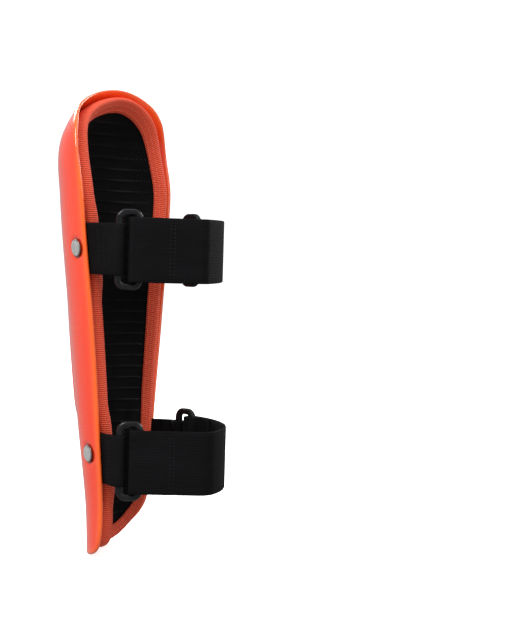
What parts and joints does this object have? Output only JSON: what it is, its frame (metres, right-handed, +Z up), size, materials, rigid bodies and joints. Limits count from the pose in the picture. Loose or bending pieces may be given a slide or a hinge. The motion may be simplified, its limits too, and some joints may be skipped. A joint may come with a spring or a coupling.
{
  "type": "ski racing shin guard",
  "caption": "Left-leg ski racing shin guard: curved glossy shell over a bound foam liner, held by riveted tabs, rings and elastic calf straps that unhook",
  "frame": {"origin": "on the leg's middle line close behind the shell's two back edges, at the height of the shell's lowest point", "axes": "+Z up the leg, -Y the way the shin faces, +X towards the outer (lateral) side of the left leg"},
  "size_m": [0.1323, 0.138, 0.3398],
  "materials": {
    "shell_plastic": "high gloss orange-red moulded plastic",
    "liner_foam": "matt black fabric-faced foam",
    "binding_tape": "ribbed woven tape",
    "tab_webbing": "woven webbing",
    "band_elastic": "woven elastic",
    "smoke_plastic": "glossy dark grey",
    "matte_plastic": "matt black",
    "rivet_metal": "nickel-plated"
  },
  "bodies": {
    "guard": {"shell": "shell_plastic", "liner_pad": "liner_foam", "edge_binding": "binding_tape", "upper_outer_tab": "tab_webbing", "upper_inner_tab": "tab_webbing", "upper_band_turn": "band_elastic", "upper_band_inner_run": "band_elastic", "upper_outer_rivet": "rivet_metal", "upper_outer_washer": "rivet_metal", "upper_inner_rivet": "rivet_metal", "upper_inner_washer": "rivet_metal", "lower_outer_tab": "tab_webbing", "lower_inner_tab": "tab_webbing", "lower_band_turn": "band_elastic", "lower_band_inner_run": "band_elastic", "lower_outer_rivet": "rivet_metal", "lower_outer_washer": "rivet_metal", "lower_inner_rivet": "rivet_metal", "lower_inner_washer": "rivet_metal"},
    "upper_outer_ring_body": {"upper_outer_ring": "smoke_plastic"},
    "upper_inner_ring_body": {"upper_inner_ring": "matte_plastic"},
    "upper_band_body": {"upper_band_outer_run": "band_elastic", "upper_hook_plate": "smoke_plastic"},
    "lower_outer_ring_body": {"lower_outer_ring": "smoke_plastic"},
    "lower_inner_ring_body": {"lower_inner_ring": "matte_plastic"},
    "lower_band_body": {"lower_band_outer_run": "band_elastic", "lower_hook_plate": "smoke_plastic"}
  },
  "joints": [
    {"name": "upper_outer_ring_swivel", "type": "hinge", "parent": "guard", "child": "upper_outer_ring_body", "pos_m": [0.0585, 0.0202, 0.222], "axis": [0, 0, 1], "range_deg": [0, 25]},
    {"name": "upper_band_open", "type": "hinge", "parent": "guard", "child": "upper_band_body", "pos_m": [0.02661, 0.06625, 0.222], "axis": [0, 0, 1], "range_deg": [0, 60], "deforming": ["upper_band_turn"]},
    {"name": "upper_inner_ring_swivel", "type": "hinge", "parent": "guard", "child": "upper_inner_ring_body", "pos_m": [-0.0605, 0.0095, 0.222], "axis": [0, 0, 1], "range_deg": [-8, 8]},
    {"name": "lower_outer_ring_swivel", "type": "hinge", "parent": "guard", "child": "lower_outer_ring_body", "pos_m": [0.0505, 0.02, 0.074], "axis": [0, 0, 1], "range_deg": [0, 25]},
    {"name": "lower_band_open", "type": "hinge", "parent": "guard", "child": "lower_band_body", "pos_m": [0.0199, 0.06673, 0.074], "axis": [0, 0, 1], "range_deg": [0, 60], "deforming": ["lower_band_turn"]},
    {"name": "lower_inner_ring_swivel", "type": "hinge", "parent": "guard", "child": "lower_inner_ring_body", "pos_m": [-0.046, 0.016, 0.074], "axis": [0, 0, 1], "range_deg": [-8, 8]}
  ]
}
